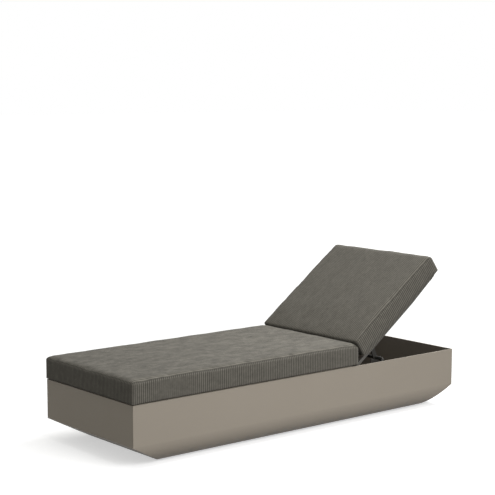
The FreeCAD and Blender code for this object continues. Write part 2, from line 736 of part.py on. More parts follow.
def rack_arc_centre():
    start = V(size("rack_start"), size("rack_high"), 0)
    end = V(size("rack_end"), size("rack_low"), 0)
    return arc_centre(start, end, size("rack_sweep"), 1)


def stud_places(sign):
    # The two studs that hold one rack's foot
    y = "(rack_inner - flange / 2) * (%d)" % sign
    return [("rack_start + window_rim", y), ("rack_end - window_rim", y)]


def racks():
    # Notched upright plates on the shell's floor, with a foot flange, a window and rest notches
    floor = "base_gap + wall"
    centre = rack_arc_centre()
    for side, sign in SIDES:
        body = plate("rack_" + side, [
            ("rack_start", floor),
            ("rack_end", floor),
            ("rack_end", "rack_low", "rack_sweep", -1),
            ("rack_start", "rack_high"),
        ], sign, "rack_inner", "rack_thick")
        notches = new_sketch(body, "XZ_Plane", side_start(sign, "rack_inner", "rack_thick"))
        for number in range(int(size("notch_count"))):
            bar = crossbar_centre(size("notch_first") + number * size("notch_step"))
            outward = (bar - centre).normalize()
            spot = centre + outward * size("rack_sweep")
            draw_circle(notches, "%.3f" % spot.x, "%.3f" % spot.y, "notch_radius")
        cut_through(body, notches)
        window = new_sketch(body, "XZ_Plane", side_start(sign, "rack_inner", "rack_thick"))
        bend = "window_round"
        left, right = "rack_start + window_rim", "rack_end - window_rim"
        low, high = "window_sill", "rack_low - window_sill"
        draw_outline(window, [
            (left + " + " + bend, low), (right + " - " + bend, low, bend, 1),
            (right, low + " + " + bend), (right, high + " - " + bend, bend, 1),
            (right + " - " + bend, high), (left + " + " + bend, high, bend, 1),
            (left, high + " - " + bend), (left, low + " + " + bend, bend, 1),
        ])
        cut_through(body, window)
        foot = new_sketch(body, "XY_Plane", floor)
        low, high = span(sign, "rack_inner - flange", "rack_inner")
        draw_outline(foot, [("rack_start", low), ("rack_end", low), ("rack_end", high), ("rack_start", high)])
        for x, y in stud_places(sign):
            draw_circle(foot, x, y, "stud_radius")
        pad(body, foot, "rack_thick")


def rack_studs():
    # Studs welded to the shell's floor, each with its nut
    members = []
    for _, sign in SIDES:
        for x, y in stud_places(sign):
            stud = rod("stud", x, y, "base_gap + wall", "stud_radius", "14")
            nut = DOC.addObject("Part::Prism", "stud_nut")
            nut.Polygon = 6
            nut.Circumradius = 5.8
            nut.Height = 5
            bind(nut, "Placement", shifted(STILL, x, y, "base_gap + wall + rack_thick"))
            whole = DOC.addObject("Part::Fuse", "rack_stud")
            whole.Base = stud
            whole.Tool = nut
            members.append(whole)
    group_of("rack_studs_and_nuts", members)


# Cushions

def cushion_section(x, base, waist, crown):
    # Closed section across a cushion: flat underside, swelling borders, crowned top
    half = size("width / 2 - cushion_bulge") - waist
    top = base + size("cushion_thick")
    middle = (base + top) / 2
    swell = half + size("cushion_bulge")
    corners = [V(x, -half, base), V(x, half, base), V(x, half, top), V(x, -half, top)]
    return Part.Wire([
        Part.LineSegment(corners[0], corners[1]).toShape(),
        Part.Arc(corners[1], V(x, swell, middle), corners[2]).toShape(),
        Part.Arc(corners[2], V(x, 0, top + crown), corners[3]).toShape(),
        Part.Arc(corners[3], V(x, -swell, middle), corners[0]).toShape(),
    ])


def cushion(label, start, end, hem, motion=STILL):
    # Loft along the cushion, waisted and crowned in the middle, rounded most along its upper edges
    base = size("bar_base + bar_deep + panel_thick")
    waist, crown = size("cushion_waist"), size("cushion_crown")
    sections = [
        cushion_section(start, base, 0, crown * size("crown_at_ends")),
        cushion_section((start + end) / 2, base, waist, crown),
        cushion_section(end, base, 0, crown * size("crown_at_ends")),
    ]
    solid = Part.makeLoft(sections, True, False)
    solid = solid.makeFillet(size("cushion_round"), [e for e in solid.Edges if e.BoundBox.ZMax > base + 1])
    solid = solid.makeFillet(size(hem), [e for e in solid.Edges if e.BoundBox.ZMax < base + 1])
    item = DOC.addObject("Part::Feature", label)
    item.Shape = solid
    bind(item, "Placement", motion)
    keep(item, label)


def cover_band():
    # The cover's lower band, pulled over the backrest's side bars and top rail
    body = new_body("back_cover_band", BACK_SWING)
    plan = new_sketch(body, "XY_Plane", "bar_base")
    side, head = "bar_edge + band_thick", "back_end + band_thick"
    start = "back_cushion_start"
    draw_outline(plan, [
        (start, "-(%s)" % side),
        (head + " - band_round", "-(%s)" % side, "band_round", 1),
        (head, "-(%s) + band_round" % side),
        (head, side + " - band_round", "band_round", 1),
        (head + " - band_round", side),
        (start, side),
        (start, "bar_edge"),
        ("back_end", "bar_edge"),
        ("back_end", "-bar_edge"),
        (start, "-bar_edge"),
    ])
    pad(body, plan, "bar_deep + panel_thick")
    edge = new_sketch(body, "XZ_Plane")
    draw_outline(edge, [(start + " - 1", "bar_base - 1"), (head + " + 1", "bar_base - 1"),
                        (head + " + 1", "bar_base + band_lift")])
    cut_through(body, edge)


# Whole lounger

def build():
    fill_sheet()
    shell_skin()
    end_panel("foot_end_panel", -1)
    end_panel("head_end_panel", 1)
    floor_strips()
    ledges()
    bearers()
    seat_deck()
    hinge_fittings()
    hinge_fasteners()
    backrest_frame()
    prop_lugs()
    prop_arms()
    crossbar()
    crossbar_trim()
    racks()
    rack_studs()
    level = ("ledge_top", "bar_base - buffer_gap")
    rubber_group("back_buffers", [((place, place + " + buffer_long"), level) for place in ("440", "720")])
    cushion("seat_cushion", size("-length / 2"), size("seat_cushion_end"), "seat_hem")
    cushion("back_cushion", size("back_cushion_start"), size("back_cushion_end"), "back_hem", BACK_SWING)
    cover_band()
    DOC.recompute()


def check_document():
    for item in DOC.Objects:
        if "Invalid" in item.State or "Error" in item.State:
            raise RuntimeError("%s failed: %s" % (item.Label, item.State))
    for item in PARTS:
        if item.Shape.isNull() or not item.Shape.isValid():
            raise RuntimeError("%s has no valid shape" % item.Label)


def rack_clearance():
    # Least gap between the sleeves and the rack's top edge over the backrest's travel
    centre = rack_arc_centre()
    reach = size("rack_sweep") - size("sleeve_radius")
    gaps = []
    for step in range(SWEEP_STEPS + 1):
        bar = crossbar_centre(size("recline") * step / SWEEP_STEPS)
        gaps.append(reach - (bar - centre).Length)
    return min(gaps)


def write_parts():
    os.makedirs("parts", exist_ok=True)
    for item in PARTS:
        item.Shape.exportStep("parts/%s.step" % item.Label)


build()
check_document()
write_parts()
print("%d sub-parts" % len(PARTS))
print("prop to backrest ratio %.4f" % (size("prop_angle") / size("recline")))
print("least gap of the sleeves over the racks %.2f mm" % rack_clearance())
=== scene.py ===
"""Looks of a spa relaxation lounger: a powder coated tub, two ribbed cushions and a propped backrest."""

from __future__ import annotations

import json
import logging
import math
from abc import ABC, abstractmethod
from dataclasses import dataclass, field
from enum import Enum
from typing import Iterable, Optional, Union

import bpy
from mathutils import Matrix, Vector, noise

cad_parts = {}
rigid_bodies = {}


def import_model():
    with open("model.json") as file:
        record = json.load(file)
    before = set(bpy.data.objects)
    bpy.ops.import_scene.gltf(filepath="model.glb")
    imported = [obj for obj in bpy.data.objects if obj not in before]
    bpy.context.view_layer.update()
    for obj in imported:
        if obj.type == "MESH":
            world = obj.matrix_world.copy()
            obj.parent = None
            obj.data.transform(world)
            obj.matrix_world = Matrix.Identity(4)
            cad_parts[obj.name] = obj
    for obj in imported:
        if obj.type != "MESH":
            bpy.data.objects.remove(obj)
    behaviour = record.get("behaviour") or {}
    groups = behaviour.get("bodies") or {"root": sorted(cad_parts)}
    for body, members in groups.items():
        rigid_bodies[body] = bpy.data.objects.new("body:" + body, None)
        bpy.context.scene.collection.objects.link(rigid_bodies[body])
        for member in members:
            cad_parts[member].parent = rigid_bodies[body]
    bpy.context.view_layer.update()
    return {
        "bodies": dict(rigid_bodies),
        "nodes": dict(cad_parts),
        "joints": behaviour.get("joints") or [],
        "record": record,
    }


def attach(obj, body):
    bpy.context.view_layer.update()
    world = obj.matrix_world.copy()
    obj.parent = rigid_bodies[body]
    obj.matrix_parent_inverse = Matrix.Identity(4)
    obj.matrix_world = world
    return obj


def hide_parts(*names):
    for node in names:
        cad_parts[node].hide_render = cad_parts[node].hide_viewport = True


log = logging.getLogger("lounger")

Colour = tuple[float, float, float]
Place = tuple[float, float, float]
Number = Union[int, float]

# Reaches in metres, an angle in degrees and the slack of a lattice number
WELD_REACH = 0.00002
ON_FACE = 0.001
SHARP_ANGLE = 32.0
ON_BORDER = 0.01


class Signal:
    """One output socket in a node tree, on which arithmetic adds nodes."""

    def __init__(self, recipe: "Recipe", socket: bpy.types.NodeSocket) -> None:
        """Keeps the socket and the recipe that it belongs to.

        Args:
            recipe: The tree being built.
            socket: The output that this signal carries.
        """
        self.recipe = recipe
        self.socket = socket

    def __add__(self, other: "Term") -> "Signal":
        """Sum."""
        return self.recipe.maths("ADD", self, other)

    __radd__ = __add__

    def __sub__(self, other: "Term") -> "Signal":
        """Difference."""
        return self.recipe.maths("SUBTRACT", self, other)

    def __rsub__(self, other: "Term") -> "Signal":
        """Difference from a number."""
        return self.recipe.maths("SUBTRACT", other, self)

    def __mul__(self, other: "Term") -> "Signal":
        """Product."""
        return self.recipe.maths("MULTIPLY", self, other)

    __rmul__ = __mul__

    def __truediv__(self, other: "Term") -> "Signal":
        """Quotient."""
        return self.recipe.maths("DIVIDE", self, other)

    def __rtruediv__(self, other: "Term") -> "Signal":
        """Quotient of a number."""
        return self.recipe.maths("DIVIDE", other, self)

    def clamped(self) -> "Signal":
        """Holds the signal between 0 and 1.

        Returns:
            The held signal.
        """
        held = self.recipe.maths("ADD", self, 0.0)
        held.socket.node.use_clamp = True
        return held


Term = Union[Signal, Number]


class Recipe:
    """The node tree of one material or of the world."""

    def __init__(self, name: str, world: bool = False) -> None:
        """Starts an empty material or world.

        Args:
            name: Name of the material or world.
            world: Whether it is the world.
        """
        self.owner = (bpy.data.worlds if world else bpy.data.materials).new(name)
        self.owner.use_nodes = True
        self.tree = self.owner.node_tree
        self.tree.nodes.clear()
        self.output = self.tree.nodes.new("ShaderNodeOutputWorld" if world else "ShaderNodeOutputMaterial")

    def node(
        self, kind: str, settings: Optional[dict] = None, inputs: Optional[dict] = None
    ) -> bpy.types.Node:
        """Adds a node.

        Args:
            kind: Blender's name of the node type.
            settings: Attributes set first, such as a Math node's operation.
            inputs: Values or signals by socket name or number.

        Returns:
            The new node.
        """
        made = self.tree.nodes.new(kind)
        for key, value in (settings or {}).items():
            setattr(made, key, value)
        for key, value in (inputs or {}).items():
            if isinstance(value, Signal):
                self.tree.links.new(value.socket, made.inputs[key])
            else:
                made.inputs[key].default_value = value
        return made

    def signal(
        self, kind: str, output: Union[str, int] = 0, settings: Optional[dict] = None,
        inputs: Optional[dict] = None,
    ) -> Signal:
        """Adds a node and returns one of its outputs as a signal."""
        return Signal(self, self.node(kind, settings, inputs).outputs[output])

    def maths(self, operation: str, first: Term, second: Term) -> Signal:
        """Adds a Math node on two terms."""
        return self.signal("ShaderNodeMath", settings={"operation": operation}, inputs={0: first, 1: second})

    def vector(self, operation: str, inputs: dict, output: Union[str, int] = 0) -> Signal:
        """Adds a Vector Math node."""
        return self.signal("ShaderNodeVectorMath", output, {"operation": operation}, inputs)

    def place(self) -> Signal:
        """Position on the piece in the frame at rest, in metres."""
        return self.signal("ShaderNodeTexCoord", "Object")

    def stored(self, name: str, output: str = "Fac") -> Signal:
        """A value stored on the mesh under a name."""
        return self.signal("ShaderNodeAttribute", output, {"attribute_name": name})

    def noise(self, place: Signal, scale: float, detail: float = 2.0, rough: float = 0.5) -> Signal:
        """Smooth noise from 0 to 1.

        Args:
            place: Position that the noise follows.
            scale: Cells per metre.
            detail: Octaves.
            rough: Weight of the finer octaves.

        Returns:
            The noise.
        """
        inputs = {"Vector": place, "Scale": scale, "Detail": detail, "Roughness": rough}
        return self.signal("ShaderNodeTexNoise", "Fac", None, inputs)

    def blend(self, factor: Term, low: Union[Signal, Colour], high: Union[Signal, Colour]) -> Signal:
        """Mixes two colours.

        Args:
            factor: Share of the second colour.
            low: The first colour.
            high: The second colour.

        Returns:
            The mixed colour.
        """
        ends = [end if isinstance(end, Signal) else (*end, 1.0) for end in (low, high)]
        return self.signal("ShaderNodeMix", 2, {"data_type": "RGBA"}, {0: factor, 6: ends[0], 7: ends[1]})

    def relief(self, height: Signal, distance: float, strength: float = 1.0) -> Signal:
        """Bump from a height between 0 and 1.

        Args:
            height: Height signal.
            distance: Depth of the relief in metres.
            strength: Share of it that shows.

        Returns:
            The bent normal.
        """
        inputs = {"Height": height, "Distance": distance, "Strength": strength}
        return self.signal("ShaderNodeBump", "Normal", None, inputs)

    def mix(self, share: Signal, first: Signal, second: Signal) -> Signal:
        """Mixes two shaders, with the share that goes to the second."""
        return self.signal("ShaderNodeMixShader", inputs={0: share, 1: first, 2: second})

    def surface(self, shader: Signal) -> None:
        """Links a shader to the output."""
        self.tree.links.new(shader.socket, self.output.inputs["Surface"])

    def finish(self, inputs: dict) -> bpy.types.Material:
        """Adds the surface shader and links it to the output.

        Args:
            inputs: Values or signals of the Principled shader's sockets.

        Returns:
            The finished material.
        """
        self.surface(self.signal("ShaderNodeBsdfPrincipled", inputs=inputs))
        return self.owner


class Finish(ABC):
    """A surface finish that can make its material."""

    made: dict = {}

    @abstractmethod
    def build(self) -> bpy.types.Material:
        """Builds the material."""

    def material(self) -> bpy.types.Material:
        """Gives the finish's material, which is built when it is first asked for.

        Returns:
            The material.
        """
        if self not in Finish.made:
            Finish.made[self] = self.build()
        return Finish.made[self]


@dataclass(frozen=True)
class PowderCoat(Finish):
    """Satin powder coat with a fine orange peel."""

    name: str = "taupe_powder_coat"
    colour: Colour = (0.292, 0.258, 0.216)
    gloss: float = 0.14
    roughness: float = 0.52
    cloud: float = 0.035
    cloud_scale: float = 3.5
    smudge: float = 0.12
    smudge_scale: float = 16.0
    peel_scale: float = 650.0
    peel_depth: float = 0.00012
    # Painted shade: a darker colour on the faces that look into the tub, standing in for the shade inside it.
    inner_shade_colour: Optional[Colour] = None
    middle: Place = (0.0, 0.0, 0.2)
    turn_sharpness: float = 60.0

    def build(self) -> bpy.types.Material:
        """Builds the material.

        Returns:
            The finished material.
        """
        recipe = Recipe(self.name)
        place = recipe.place()
        cloud = recipe.noise(place, self.cloud_scale, detail=3.0)
        dark = tuple(channel * (1.0 - self.cloud) for channel in self.colour)
        light = tuple(channel * (1.0 + self.cloud) for channel in self.colour)
        colour = recipe.blend(cloud, dark, light)
        # Painted shade: the inner faces take the darker colour.
        if self.inner_shade_colour:
            colour = recipe.blend(self.painted_inner_shade(recipe, place), colour, self.inner_shade_colour)
        peel = recipe.noise(place, self.peel_scale, detail=1.0)
        smudge = recipe.noise(place, self.smudge_scale, detail=4.0, rough=0.6)
        return recipe.finish({
            "Base Color": colour,
            "Roughness": self.roughness + (smudge - 0.5) * self.smudge,
            "Specular IOR Level": self.gloss,
            "Normal": recipe.relief(peel, self.peel_depth),
        })

    def painted_inner_shade(self, recipe: Recipe, place: Signal) -> Signal:
        """1 on the faces that look into the tub, which get a darker colour as painted shade, and 0 outside.

        Args:
            recipe: The material being built.
            place: Position on the piece.

        Returns:
            The share of the darker colour that paints the shade inside the tub.
        """
        facing = recipe.signal("ShaderNodeTexCoord", "Normal")
        outward = recipe.vector("SUBTRACT", {0: place, 1: self.middle})
        inward = recipe.vector("DOT_PRODUCT", {0: facing, 1: outward}, "Value") * -self.turn_sharpness
        return inward.clamped()


@dataclass(frozen=True)
class BrushedMetal(Finish):
    """Metal with fine brush marks along one axis of the frame."""

    name: str = "brushed_steel"
    colour: Colour = (0.56, 0.55, 0.53)
    roughness: float = 0.34
    marks: Place = (900.0, 40.0, 900.0)
    mark_depth: float = 0.00004
    mark_share: float = 0.2
    metallic: float = 1.0
    tarnish: float = 0.18
    tarnish_scale: float = 35.0

    def build(self) -> bpy.types.Material:
        """Builds the material.

        Returns:
            The finished material.
        """
        recipe = Recipe(self.name)
        place = recipe.place()
        stretched = recipe.vector("MULTIPLY", {0: place, 1: self.marks})
        marks = recipe.noise(stretched, 1.0, detail=3.0, rough=0.6)
        tarnish = recipe.noise(place, self.tarnish_scale, detail=3.0)
        dull = tuple(channel * (1.0 - self.tarnish) for channel in self.colour)
        return recipe.finish({
            "Base Color": recipe.blend(tarnish, dull, self.colour),
            "Metallic": self.metallic,
            "Roughness": self.roughness + (marks - 0.5) * self.mark_share,
            "Normal": recipe.relief(marks, self.mark_depth),
        })


@dataclass(frozen=True)
class Moulded(Finish):
    """Moulded rubber or plastic with a fine grain."""

    name: str
    colour: Colour
    roughness: float
    grain_scale: float = 1400.0
    grain_depth: float = 0.00006
    gloss: float = 0.2
    grain_share: float = 0.15
    bloom_scale: float = 28.0
    bloom: tuple[float, float] = (1.5, 0.004)

    def build(self) -> bpy.types.Material:
        """Builds the material.

        Returns:
            The finished material.
        """
        recipe = Recipe(self.name)
        place = recipe.place()
        grain = recipe.noise(place, self.grain_scale)
        bloom = recipe.noise(place, self.bloom_scale, detail=3.0)
        gain, lift = self.bloom
        pale = tuple(min(1.0, channel * gain + lift) for channel in self.colour)
        return recipe.finish({
            "Base Color": recipe.blend(bloom, self.colour, pale),
            "Roughness": self.roughness + (grain - 0.5) * self.grain_share,
            "Specular IOR Level": self.gloss,
            "Normal": recipe.relief(grain, self.grain_depth),
        })


@dataclass(frozen=True)
class RibbedCloth(Finish):
    """Ribbed woven cover whose grooves and seams come from the cushion's own mesh, with the rib hollows
    darkened as painted shade.
    """

    name: str = "ribbed_grey_cover"
    crest: Colour = (0.158, 0.148, 0.127)
    # Painted shade: the rib hollows take this darker colour.
    groove: Colour = (0.052, 0.048, 0.041)
    seam: Colour = (0.030, 0.028, 0.024)
    thread_pitch: float = 0.0016
    thread_depth: float = 0.0004
    thread_tone: float = 0.45
    nap_scale: float = 60.0
    nap_tone: float = 0.55
    nap_roughness: float = 0.08
    patch_scale: float = 26.0
    mottle: float = 0.62
    brushing: Place = (0.7, 1.1, 1.1)
    groove_shade_edge: tuple[float, float] = (1.15, 0.1)
    seam_edge: tuple[float, float] = (1.6, 0.24)
    roughness: float = 0.93
    sheen: float = 0.05
    sheen_roughness: float = 0.5
    gloss: float = 0.12

    def build(self) -> bpy.types.Material:
        """Builds the material.

        Returns:
            The finished material.
        """
        recipe = Recipe(self.name)
        cloth = recipe.stored(Cushion.CLOTH_PLACE, "Vector")
        groove = recipe.stored(Cushion.GROOVE_SHADE) * self.groove_shade_edge[0] - self.groove_shade_edge[1]
        seam = recipe.stored(Cushion.SEAM) * self.seam_edge[0] - self.seam_edge[1]
        threads = 0.5 * self.weave(recipe, cloth) + 0.5 * recipe.noise(cloth, 1.0 / self.thread_pitch)
        stroked = recipe.vector("MULTIPLY", {0: cloth, 1: self.brushing})
        patches = recipe.noise(stroked, self.patch_scale, rough=0.6)
        nap = recipe.noise(cloth, self.nap_scale, detail=3.0, rough=0.6)
        # Painted shade in the rib hollows.
        ribbed = recipe.blend(groove.clamped(), self.crest, self.groove)
        mottled = (patches - 0.5) * recipe.stored(Cushion.BRUSHED) * (2.0 * self.mottle)
        tone = 1.0 + mottled + (nap - 0.5) * self.nap_tone + (threads - 0.5) * self.thread_tone
        toned = recipe.vector("SCALE", {0: ribbed, "Scale": tone})
        return recipe.finish({
            "Base Color": recipe.blend(seam.clamped(), toned, self.seam),
            "Roughness": self.roughness + (nap - 0.5) * self.nap_roughness,
            "Sheen Weight": self.sheen,
            "Sheen Roughness": self.sheen_roughness,
            "Specular IOR Level": self.gloss,
            "Normal": recipe.relief(threads, self.thread_depth, strength=0.6),
        })

    def weave(self, recipe: Recipe, cloth: Signal) -> Signal:
        """Height of the crossing threads, from 0 to 1.

        Args:
            recipe: The material being built.
            cloth: Position on the cloth.

        Returns:
            The height.
        """
        parts = recipe.node("ShaderNodeSeparateXYZ", None, {0: cloth})
        turns = 2.0 * math.pi / self.thread_pitch
        waves = []
        for axis in range(3):
            along = Signal(recipe, parts.outputs[axis])
            waves.append(recipe.maths("SINE", along * turns, 0.0))
        return 0.5 + (waves[0] * waves[1] + waves[1] * waves[2] + waves[0] * waves[2]) * 0.25


class Palette(Enum):
    """The finishes of the lounger's parts."""

    # The shell's inner faces are darker as painted shade inside the tub.
    SHELL = PowderCoat(inner_shade_colour=(0.128, 0.112, 0.093))
    FRAMES = PowderCoat(name="frame_powder_coat", colour=(0.275, 0.243, 0.204), roughness=0.5)
    # Painted shade: the back frames are coloured much darker than the other frames to stand in for the shade
    # under the back cushion.
    BACK_FRAMES_SHADED = PowderCoat(name="back_frame_painted_shade", colour=(0.075, 0.070, 0.062), gloss=0.35, roughness=0.4)
    DECK = PowderCoat(name="deck_powder_coat", colour=(0.262, 0.231, 0.195), roughness=0.6)
    DARK_STEEL = Moulded("near_black_coat", (0.028, 0.026, 0.024), roughness=0.55)
    # Painted shade: the prop's steel is coloured near black to stand in for the shade inside the tub.
    PROP_SHADED = BrushedMetal(name="prop_steel_painted_shade", colour=(0.055, 0.052, 0.048), roughness=0.75, metallic=0.6)
    FASTENERS = BrushedMetal(
        name="satin_fasteners", colour=(0.26, 0.255, 0.245), roughness=0.5, marks=(400.0, 400.0, 400.0)
    )
    NYLON = Moulded("black_nylon", (0.02, 0.02, 0.02), roughness=0.5)
    RUBBER = Moulded(
        "black_rubber", (0.018, 0.018, 0.018), roughness=0.8, grain_scale=700.0, grain_depth=0.0002
    )
    COVER = RibbedCloth()


def dress(nodes: dict[str, bpy.types.Object], names: Iterable[str], finish: Palette, edge: float) -> None:
    """Gives carried over nodes a finish and softened edges.

    Args:
        nodes: The frame's objects by name.
        names: The nodes to dress.
        finish: The finish that they get.
        edge: Width of the softened edges in metres, or 0 for none.
    """
    for name in names:
        node = nodes[name]
        material = finish.value.material()
        if not node.material_slots:
            node.data.materials.append(material)
        for material_slot in node.material_slots:
            material_slot.material = material
        if edge:
            weld = node.modifiers.new("weld", "WELD")
            weld.merge_threshold = WELD_REACH
            bevel = node.modifiers.new("edges", "BEVEL")
            bevel.width = edge
            bevel.segments = 2
            bevel.limit_method = "ANGLE"
            bevel.angle_limit = math.radians(SHARP_ANGLE)
            node.modifiers.new("normals", "WEIGHTED_NORMAL")
        log.info("dressed %s with %s", name, finish.name)


@dataclass
class Tub:
    """The sheet metal shell with its floor strips."""

    nodes: dict[str, bpy.types.Object]
    sheet_edge: float = 0.0009
    strip_edge: float = 0.0006

    def make(self) -> None:
        """Dresses the shell."""
        dress(self.nodes, ("shell_skin", "foot_end_panel", "head_end_panel"), Palette.SHELL, self.sheet_edge)
        dress(self.nodes, ("floor_strip_foot", "floor_strip_head"), Palette.RUBBER, self.strip_edge)


@dataclass
class Deck:
    """Ledges, bearers, both deck frames and their panels."""

    nodes: dict[str, bpy.types.Object]
    tube_edge: float = 0.0012
    panel_edge: float = 0.0008
    frame_words: tuple[str, ...] = ("ledge", "bearer", "beam", "rail", "bar_left", "bar_right", "centre_bar")

    def make(self) -> None:
        """Dresses the frames, the panels and the rubber between them."""
        frames = [name for name in self.nodes if any(word in name for word in self.frame_words)]
        back_frames = sorted(name for name in frames if name.startswith("back_") and "ledge" not in name)
        dress(self.nodes, sorted(set(frames) - set(back_frames)), Palette.FRAMES, self.tube_edge)
        # The back frames get the darker coat, which paints the shade under the back cushion.
        dress(self.nodes, back_frames, Palette.BACK_FRAMES_SHADED, self.tube_edge)
        dress(self.nodes, ("seat_panel", "back_panel"), Palette.DECK, self.panel_edge)
        dress(self.nodes, ("seat_pads", "back_buffers"), Palette.RUBBER, self.panel_edge)


@dataclass
class Mechanism:
    """Hinges, prop, crossbar and racks."""

    nodes: dict[str, bpy.types.Object]
    plate_edge: float = 0.0006
    fine_edge: float = 0.0004

    def make(self) -> None:
        """Dresses the moving parts and what carries them."""
        sides = ("left", "right")
        dark = [f"{name}_{side}" for name in ("rack", "hinge_bracket") for side in sides]
        steel = [f"{name}_{side}" for name in ("prop_arm", "prop_lug") for side in sides]
        pins = [f"{name}_{side}" for name in ("hinge_pin", "prop_pin") for side in sides]
        nylon = [f"{name}_{side}" for name in ("hinge_bush", "crossbar_sleeve") for side in sides]
        dress(self.nodes, dark, Palette.DARK_STEEL, self.plate_edge)
        # The prop arms and crossbar get the near black steel that paints the shade inside the tub.
        dress(self.nodes, steel, Palette.PROP_SHADED, self.plate_edge)
        dress(self.nodes, ("prop_crossbar",), Palette.PROP_SHADED, 0.0)
        dress(self.nodes, [*pins, "hinge_nuts_and_washers", "bracket_screws", "rack_studs_and_nuts"],
              Palette.FASTENERS, self.fine_edge)
        dress(self.nodes, [*nylon, "crossbar_plugs"], Palette.NYLON, self.fine_edge)


class Face(Enum):
    """Panels of a cushion's cover."""

    TOP = "top"
    UNDER = "under"
    LONG_SIDE = "long side"
    END = "end"


@dataclass(frozen=True)
class Band:
    """The lower band of a cover, drawn down over the frame under its cushion, in sizes of the level part."""

    outside: float
    inside: float
    head: float
    start: float
    depth: float = 0.0165
    depth_at_head: float = 0.0090
    delay: float = 0.004
    slope: float = 0.022
    fold: float = 0.012
    wall: float = 0.0036
    lap: float = 0.022
    lip: float = 0.0012
    behind: float = 0.0004
    hem: float = 0.0006
    hem_edge: float = 0.0001

    def drop(self, x: float) -> float:
        """How far the band hangs below the cushion's base.

        Args:
            x: Level position along the backrest.

        Returns:
            The drop in metres.
        """
        if x > self.head + ON_FACE:
            return 0.0
        share = min(max((x - self.start - self.delay) / self.slope, 0.0), 1.0)
        along = (x - self.start) / (self.head - self.start)
        return (self.depth + (self.depth_at_head - self.depth) * along) * share * share * (3.0 - 2.0 * share)

    def head_rows(self) -> dict[int, tuple[float, float]]:
        """Place along the backrest and drop of the base's last rows of points, which fold over the top rail.

        Returns:
            The two values by the row's number from the head end.
        """
        return {
            1: (self.head + self.lap, 0.0),
            2: (self.head + self.lip, 0.0),
            3: (self.head, self.depth_at_head),
            4: (self.head - self.wall, self.depth_at_head),
            5: (self.head - self.wall - self.behind, 0.0),
        }


